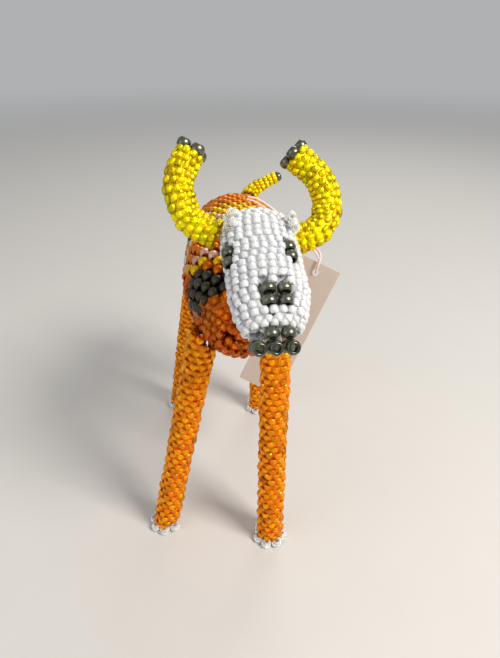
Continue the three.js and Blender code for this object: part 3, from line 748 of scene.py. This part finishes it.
def woven_form(name, skin, start, way, up, bead, paint, material,
               windows=NO_BEADS, taken=NO_BEADS, brick=True, here=None, lift=FORM_WEB_LIFT):
    """Rows of beads over a rounded skin, a bead's width apart along and round it.

    The weave leaves windows for larger beads, and keeps off beads that another piece has taken.
    It covers only the part that here(place, margin) says, and its web reaches a margin past that.
    Returns the piece and the middles of its beads.
    """
    rng = np.random.default_rng(SEED + sum(map(ord, name)))
    surface = surface_of(skin)
    points = points_of(skin)
    way = way / np.linalg.norm(way)
    side = np.cross(way, up)
    side = side / np.linalg.norm(side)
    across = np.cross(side, way)
    low, high = ((points - start) @ way).min(), ((points - start) @ way).max()
    steps = np.linspace(low + 0.02 * MM, high - 0.02 * MM, 160)
    widths = []
    for s in steps:
        spots, _, held = outline_at(surface, start + way * s, side, across, 24)
        away = np.linalg.norm(spots - (start + way * s), axis=1)
        widths.append(np.median(away[held]) if held.any() else 0.0)
    travel = np.concatenate([[0], np.cumsum(np.hypot(np.diff(steps), np.diff(widths)))])
    places = np.interp(np.arange(bead * 0.5, travel[-1], bead * FORM_ROW), travel, steps)
    beads = Beads()
    count = 0
    webbing, kept = [], []
    for row, s in enumerate(places):
        spots, faces, held = outline_at(surface, start + way * s, side, across)
        centres = spots - faces * bead / 2
        webbing.append([c - face * WINDOW_DEPTH if crowded(c, windows) else c + face * lift * bead
                        for c, face in zip(centres[::2], faces[::2])])
        kept.append([bool(ok) and (not here or here(c, WEB_MARGIN))
                     for c, ok in zip(centres[::2], held[::2])])
        loop = np.vstack([centres, centres[:1]])
        gaps = np.linalg.norm(np.diff(loop, axis=0), axis=1)
        travel_round = np.concatenate([[0], np.cumsum(gaps)])
        wanted = travel_round[-1] / bead
        if count == 0 or abs(wanted - count) > max(1.0, 0.07 * count):
            count = max(1, int(wanted))
        shift = 0.5 * (row % 2) if brick else 0.0
        for i in range(count):
            place = travel_round[-1] * ((i + shift) / count % 1.0)
            k = int(np.searchsorted(travel_round, place, side="right") - 1) % len(centres)
            if not held[k]:
                continue
            part = (place - travel_round[k]) / max(gaps[k], 1e-9)
            centre = centres[k] + (loop[k + 1] - centres[k]) * part
            out = faces[k]
            if crowded(centre, windows) or crowded(centre, taken):
                continue
            if here and not here(centre, 0.0):
                continue
            line = way - out * (way @ out)
            if np.linalg.norm(line) < 0.05:
                line = side
            aside = FORM_ASIDE * rng.standard_normal() * np.cross(way, out)
            line = line / np.linalg.norm(line) + aside
            size = bead / 2 * (1 + FORM_SPREAD * rng.standard_normal())
            beads.add(centre + out * FORM_WOBBLE_OUT * rng.standard_normal(), line, out,
                      size, bead * FORM_HALF_LENGTH, paint(centre, rng))
    webbing = np.array(webbing)
    tones = np.array([[paint(c, rng)[:3] for c in ring] for ring in webbing])
    # painted shade: the threads take the beads' tone, a little darker
    beads.web(webbing, np.array(kept), tones * WEB_SHADE)
    return beads.build(name, material), np.array([row[0] for row in beads.rows])


def settle(piece, body, *nodes, slot):
    """The piece rides on its body and stands for the frame's plain nodes."""
    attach(piece, body)
    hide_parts(*nodes)


def loose_bead(node, size, tone, material, half_length):
    """One larger bead where the frame has one, on the same bore line."""
    points = points_of(node)
    axes, spread = principal_axes(points)
    odd = 0 if spread[0] - spread[1] > spread[1] - spread[2] else 2
    beads = Beads(around=28, bore=0.36)
    beads.add(points.mean(axis=0), axes[odd], axes[1], size / 2, half_length, tone)
    piece = beads.build(node + "_glass", material)
    smooth = piece.modifiers.new("rounding", "SUBSURF")
    smooth.levels = 1
    smooth.render_levels = 1
    settle(piece, BODY_OF[node], node, slot="dark_beads")


# ---- operators ----

class Stage(bpy.types.Operator):
    """Camera, soft lights and a pale floor"""
    bl_idname = "beaded_bull.stage"
    bl_label = "Stage"

    def execute(self, context):
        scene = context.scene
        camera = bpy.data.objects.new("camera", bpy.data.cameras.new("camera"))
        scene.collection.objects.link(camera)
        camera.location = CAMERA_PLACE
        camera.rotation_euler = (math.radians(90 - CAMERA_DOWN), 0, 0)
        camera.data.lens = CAMERA_LENS
        camera.data.sensor_width = 36.0
        camera.data.clip_start = 0.002
        camera.data.clip_end = 10.0
        scene.camera = camera
        low, high = CAD_BOX
        middle = (Vector(low) + Vector(high)) / 2
        for name, (away, size, power, tint) in LIGHTS.items():
            self.light(scene, name, middle + Vector(away), middle, size, power, tint)
        world = bpy.data.worlds.new("soft_room")
        world.use_nodes = True
        world.node_tree.nodes["Background"].inputs["Color"].default_value = ROOM_TONE
        world.node_tree.nodes["Background"].inputs["Strength"].default_value = ROOM_LIGHT
        scene.world = world
        scene.view_settings.view_transform = "Standard"
        floor = bpy.data.meshes.new("floor")
        corners = ((-1, -1), (1, -1), (1, 1), (-1, 1))
        floor.from_pydata([(x * FLOOR_SIZE, y * FLOOR_SIZE, 0) for x, y in corners], [], [(0, 1, 2, 3)])
        floor.materials.append(pale_floor())
        ground = bpy.data.objects.new("floor", floor)
        scene.collection.objects.link(ground)
        return {"FINISHED"}

    @staticmethod
    def light(scene, name, place, target, size, power, tint):
        lamp = bpy.data.lights.new(name, "AREA")
        lamp.size = size
        lamp.energy = power
        lamp.color = tint
        item = bpy.data.objects.new(name, lamp)
        item.location = place
        item.rotation_euler = (Vector(target) - Vector(place)).to_track_quat("-Z", "Y").to_euler()
        scene.collection.objects.link(item)


class TagAndThread(bpy.types.Operator):
    """The blank card tag and the thread that holds it to the back"""
    bl_idname = "beaded_bull.tag_and_thread"
    bl_label = "Tag and thread"

    def execute(self, context):
        sizes, colours = context.scene.bead_sizes, context.scene.bead_colours
        route = [(np.array(p) + FLANK_EDGE) * MM for p in THREAD_ROUTE]
        line = catmull_rom(route, 8)
        curve = bpy.data.curves.new("tag_thread_twist", "CURVE")
        curve.dimensions = "3D"
        curve.bevel_depth = sizes.thread / 2
        curve.bevel_resolution = 3
        curve.use_fill_caps = True
        spline = curve.splines.new("POLY")
        spline.points.add(len(line) - 1)
        for point, place in zip(spline.points, line):
            point.co = (*place, 1.0)
        curve.materials.append(twisted_nylon())
        thread = bpy.data.objects.new("tag_thread_twist", curve)
        context.scene.collection.objects.link(thread)
        settle(thread, "body", "tag_thread", slot="thread")
        tag = frame["nodes"]["swing_tag"]
        tag.data.materials.clear()
        tag.data.materials.append(plain_card(tuple(colours.card)))
        return {"FINISHED"}


class InnerParts(bpy.types.Operator):
    """Stuffing and core wires, seen only between the beads"""
    bl_idname = "beaded_bull.inner_parts"
    bl_label = "Stuffing and wires"

    def execute(self, context):
        wire = bare_wire()
        # the body's stuffing is tinted orange-brown to look like the shaded gaps between the orange beads:
        # painted shade
        fill = {"body_stuffing": soft_fill("warm_gap_shade_fill", (0.62, 0.26, 0.04, 1.0)),
                "head_stuffing": soft_fill("white_fill", (0.86, 0.88, 0.9, 1.0))}
        for node, item in frame["nodes"].items():
            finish = wire if node.endswith("_core") else fill.get(node)
            if finish:
                item.data.materials.clear()
                item.data.materials.append(finish)
        return {"FINISHED"}


class BodySkin(bpy.types.Operator):
    """The woven body with its medallions, and the neck"""
    bl_idname = "beaded_bull.body_skin"
    bl_label = "Body and neck"

    def execute(self, context):
        sizes, colours = context.scene.bead_sizes, context.scene.bead_colours
        low, high = (np.array(v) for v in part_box("body_skin"))
        middle = (low + high) / 2
        long = high[1] - low[1]
        tones = {"orange": tuple(colours.body), "amber": tuple(colours.amber),
                 "gold": tuple(colours.gold), "rose": tuple(colours.rose),
                 "dark": tuple(c * DARK_SHARE for c in colours.dark), "white": tuple(colours.head)}

        def place(centre):
            """How far along and how far up the body, each from 0 to 1."""
            return (centre[1] - low[1]) / long, (centre[2] - low[2]) / (high[2] - low[2])

        def from_shoulder(centre):
            """How far from the middle of the shoulder's dark patch, as a share of the body's height."""
            y, z = place(centre)
            return math.dist((y * ALONG_TO_UP, z), (SHOULDER_MIDDLE[0] * ALONG_TO_UP, SHOULDER_MIDDLE[1]))

        def upper(centre, gap):
            """True on the back and the pattern, and false on the plain belly and chest."""
            y, z = place(centre)
            edge = CHEST_EDGE if y < CHEST_END else FLANK_EDGE_HEIGHT
            return z > edge - gap or from_shoulder(centre) < SHOULDER_RINGS[0][0] + gap

        def in_ring(reach, rings):
            return next((name for edge, name in rings if reach < edge), None)

        def in_band(y, z):
            return next((name for near, far, name in BACK_BANDS
                         if z > BAND_HEIGHT and near < y < far), None)

        def paint(centre, rng):
            y, z = place(centre)
            diamond = sum(abs(at - middle) / reach
                          for at, middle, reach in zip((y, z), DIAMOND_MIDDLE, DIAMOND_REACH))
            name = (in_ring(from_shoulder(centre), SHOULDER_RINGS) or in_ring(diamond, DIAMOND_RINGS)
                    or in_band(y, z) or "orange")
            if name == "checks":
                name = "rose" if (int(y * CHECKS[0]) + int(z * CHECKS[1])) % 2 else "white"
            return varied(rng, tones[name], 0.15 if name == "dark" else 0.1)

        # the second colour in each is that of the painted shade at the bead ends
        glass = clear_tinted("clear_orange_glass", (0.7, 0.5, 0.36, 1.0))
        lined = silver_lined("silver_lined_amber", (0.8, 0.5, 0.22, 1.0))
        front = np.array((middle[0], low[1], middle[2]))
        along_y, up = np.array((0.0, 1.0, 0.0)), np.array((0.0, 0.0, 1.0))
        skin, laid = woven_form("body_weave_back", "body_skin", front, along_y, up, sizes.body_bead,
                          paint, glass, here=upper, lift=BACK_WEB_LIFT)
        settle(skin, "body", "body_skin", slot="orange_beads")
        room = BESIDE * (sizes.body_bead + sizes.leg_bead)
        taken = np.column_stack([laid, np.full(len(laid), room)])
        # the belly's smaller silver-lined beads take the deeper amber tone, partly as painted shade of the
        # underside
        belly, _ = woven_form("body_weave_belly", "body_skin", front, along_y, up, sizes.leg_bead,
                              lambda c, rng: varied(rng, tones["amber"], 0.2), lined,
                              taken=taken, here=lambda c, more: not upper(c, -SEAM - more))
        settle(belly, "body", "body_skin", slot="orange_beads")
        turn = joint_named("head_turn")
        way = np.array(turn["axis"], float)
        way = way / np.linalg.norm(way)
        pivot = np.array(turn["pos_m"], float)
        line = np.array([pivot - way * NECK_HALF_LENGTH, pivot, pivot + way * NECK_HALF_LENGTH])
        neck = woven_tube("neck_weave", "neck_collar", line, sizes.leg_bead,
                          tones["white"], glass, NECK_COUNT,
                          reach_out=NECK_REACH, inset=NECK_INSET)
        settle(neck, "neck", "neck_collar", slot="orange_beads")
        return {"FINISHED"}


class HeadSkin(bpy.types.Operator):
    """The white woven head"""
    bl_idname = "beaded_bull.head_skin"
    bl_label = "Head"

    def execute(self, context):
        sizes, colours = context.scene.bead_sizes, context.scene.bead_colours
        dark = [n for n in frame["nodes"] if n.startswith(("eye_", "nostril_", "muzzle_"))]
        near = WINDOW_EDGE * (sizes.dark_bead + sizes.head_bead)
        windows = np.array([(*points_of(n).mean(axis=0), near) for n in dark])
        middle = points_of("head_stuffing").mean(axis=0)
        axes, _ = principal_axes(points_of("head_skin"))
        lengthwise = axes[0] if axes[0][1] > 0 else -axes[0]
        tone = tuple(colours.head)
        skin, _ = woven_form("head_weave", "head_skin", middle, lengthwise, np.array((0.0, -0.4, 1.0)),
                             sizes.head_bead, lambda centre, rng: varied(rng, tone, 0.05),
                             pearl_glass(), windows, brick=False)
        settle(skin, "head", "head_skin", slot="white_beads")
        return {"FINISHED"}


class DarkBeads(bpy.types.Operator):
    """Eyes, nostrils, muzzle and the tips of horns and tail"""
    bl_idname = "beaded_bull.dark_beads"
    bl_label = "Dark beads"

    def execute(self, context):
        sizes, colours = context.scene.bead_sizes, context.scene.bead_colours
        rng = np.random.default_rng(SEED)
        finish = dark_metallic_glass()
        for node in frame["nodes"]:
            if node.startswith(("eye_", "nostril_", "muzzle_")) or "_tip" in node:
                loose_bead(node, sizes.dark_bead, varied(rng, colours.dark, 0.12), finish,
                           DARK_HALF_LENGTH)
        return {"FINISHED"}


class Horns(bpy.types.Operator):
    """The curved yellow horns"""
    bl_idname = "beaded_bull.horns"
    bl_label = "Horns"

    def execute(self, context):
        sizes, colours = context.scene.bead_sizes, context.scene.bead_colours
        # the second colour is that of the painted shade at the bead ends and in the dark patches
        glass = silver_lined("silver_lined_yellow", (0.82, 0.66, 0.2, 1.0))
        for side in SIDES:
            line = catmull_rom(curved_line(f"horn_{side}_core", THIN_CORE), 6)
            piece = woven_tube(f"horn_{side}_weave", f"horn_{side}_skin", line, sizes.horn_bead,
                               tuple(colours.horn), glass, HORN_COUNT, 0.2, twist=0.07)
            settle(piece, "head", f"horn_{side}_skin", slot="yellow_beads")
        return {"FINISHED"}


class Legs(bpy.types.Operator):
    """The four orange legs and the clear beads under the feet"""
    bl_idname = "beaded_bull.legs"
    bl_label = "Legs and hooves"

    def execute(self, context):
        sizes, colours = context.scene.bead_sizes, context.scene.bead_colours
        rng = np.random.default_rng(SEED + 1)
        # the second colour is that of the painted shade at the bead ends and in the dark patches
        glass = silver_lined("silver_lined_orange", (0.84, 0.58, 0.2, 1.0))
        clear = clear_glass()
        for leg in LEGS:
            line = straight_line(f"leg_{leg}_core", THICK_CORE, f"leg_{leg}_skin")
            piece = woven_tube(f"leg_{leg}_weave", f"leg_{leg}_skin", line, sizes.leg_bead,
                               tuple(colours.leg), glass, LEG_COUNT, 0.18, twist=0.03,
                               reach_out=LEG_REACH)
            settle(piece, "leg_" + leg, f"leg_{leg}_skin", slot="orange_beads")
            hoof = self.hoof(leg, sizes.hoof_bead, clear, rng)
            settle(hoof, "leg_" + leg, f"hoof_{leg}_beads", slot="clear_beads")
        return {"FINISHED"}

    @staticmethod
    def hoof(leg, bead, material, rng):
        """One clear bead on each flat end that stands on the ground."""
        points = points_of(f"hoof_{leg}_beads")
        low = points[points[:, 2] < 0.02 * MM]
        groups = []
        for p in low:
            for group in groups:
                if np.linalg.norm(np.mean(group, axis=0) - p) < 0.52 * bead:
                    group.append(p)
                    break
            else:
                groups.append([p])
        beads = Beads(around=20, bore=0.3)
        height = points[:, 2].max() / 2
        for group in groups:
            flat = np.mean(group, axis=0)
            centre = np.array((flat[0], flat[1], height))
            lean = np.array((0.08 * rng.standard_normal(), 0.08 * rng.standard_normal(), 1.0))
            beads.add(centre, lean, (1.0, 0.0, 0.0), bead / 2, height * 0.96, HOOF_TONE)
        return beads.build(f"hoof_{leg}_glass", material)


class Ears(bpy.types.Operator):
    """Two loops of clear beads"""
    bl_idname = "beaded_bull.ears"
    bl_label = "Ears"

    def execute(self, context):
        sizes = context.scene.bead_sizes
        clear = clear_glass()
        ring = sizes.ear_bead * EAR_PITCH * EAR_COUNT / (2 * math.pi)
        for side in SIDES:
            points = points_of(f"ear_{side}")
            axes, _ = principal_axes(points)
            low, high = points.min(axis=0), points.max(axis=0)
            middle = (low + high) / 2
            beads = Beads(around=18, bore=0.3)
            for i in range(EAR_COUNT):
                turn = 2 * math.pi * (i + 0.5) / EAR_COUNT
                out = math.cos(turn) * axes[0] + math.sin(turn) * axes[1]
                line = -math.sin(turn) * axes[0] + math.cos(turn) * axes[1]
                beads.add(middle + out * ring, line, out, sizes.ear_bead / 2,
                          sizes.ear_bead * EAR_HALF_LENGTH, EAR_TONE)
            piece = beads.build(f"ear_{side}_glass", clear)
            settle(piece, "head", f"ear_{side}", slot="clear_beads")
        return {"FINISHED"}


class Tail(bpy.types.Operator):
    """The short raised tail"""
    bl_idname = "beaded_bull.tail"
    bl_label = "Tail"

    def execute(self, context):
        sizes, colours = context.scene.bead_sizes, context.scene.bead_colours
        line = curved_line("tail_core", THIN_CORE)
        if line[0][2] > line[-1][2]:
            line = line[::-1]
        tip = points_of("tail_tip_bead").mean(axis=0)
        line = catmull_rom([*line[:-1], tip], 6)

        def narrow(spot):
            """Half the tail's width, which grows from the tip bead to the root."""
            from_tip = np.linalg.norm(tip - spot) - sizes.dark_bead / 2
            return TAIL_TIP / 2 + (TAIL_ROOT - TAIL_TIP) / 2 * max(0.0, min(1.0, from_tip / TAIL_LENGTH))

        # the second colour is that of the painted shade at the bead ends and in the dark patches
        glass = silver_lined("silver_lined_gold", (0.8, 0.6, 0.2, 1.0))
        piece = woven_tube("tail_weave", "tail_skin", line, sizes.tail_bead, tuple(colours.horn),
                           glass, TAIL_COUNT, 0.2, narrow=narrow)
        settle(piece, "tail", "tail_skin", slot="yellow_beads")
        return {"FINISHED"}


class Panel(bpy.types.Panel):
    """Lists the pieces of the bull"""
    bl_idname = "VIEW3D_PT_beaded_bull"
    bl_label = "Beaded Bull"
    bl_space_type = "VIEW_3D"
    bl_region_type = "UI"
    bl_category = "Beaded Bull"

    def draw(self, context):
        for operator in OPERATORS:
            self.layout.operator(operator.bl_idname)
        for group in (context.scene.bead_sizes, context.scene.bead_colours):
            box = self.layout.box()
            for name in group.bl_rna.properties.keys():
                if name not in ("rna_type", "name"):
                    box.prop(group, name)


OPERATORS = (Stage, TagAndThread, InnerParts, BodySkin, HeadSkin, DarkBeads, Horns, Legs, Ears, Tail)
CLASSES = (BeadSizes, BeadColours, *OPERATORS, Panel)


def register():
    for item in CLASSES:
        bpy.utils.register_class(item)
    bpy.types.Scene.bead_sizes = bpy.props.PointerProperty(type=BeadSizes)
    bpy.types.Scene.bead_colours = bpy.props.PointerProperty(type=BeadColours)


def unregister():
    del bpy.types.Scene.bead_colours
    del bpy.types.Scene.bead_sizes
    for item in reversed(CLASSES):
        bpy.utils.unregister_class(item)


def main():
    register()
    for operator in OPERATORS:
        group, name = operator.bl_idname.split(".")
        getattr(getattr(bpy.ops, group), name)()


if __name__ == "__main__":
    main()
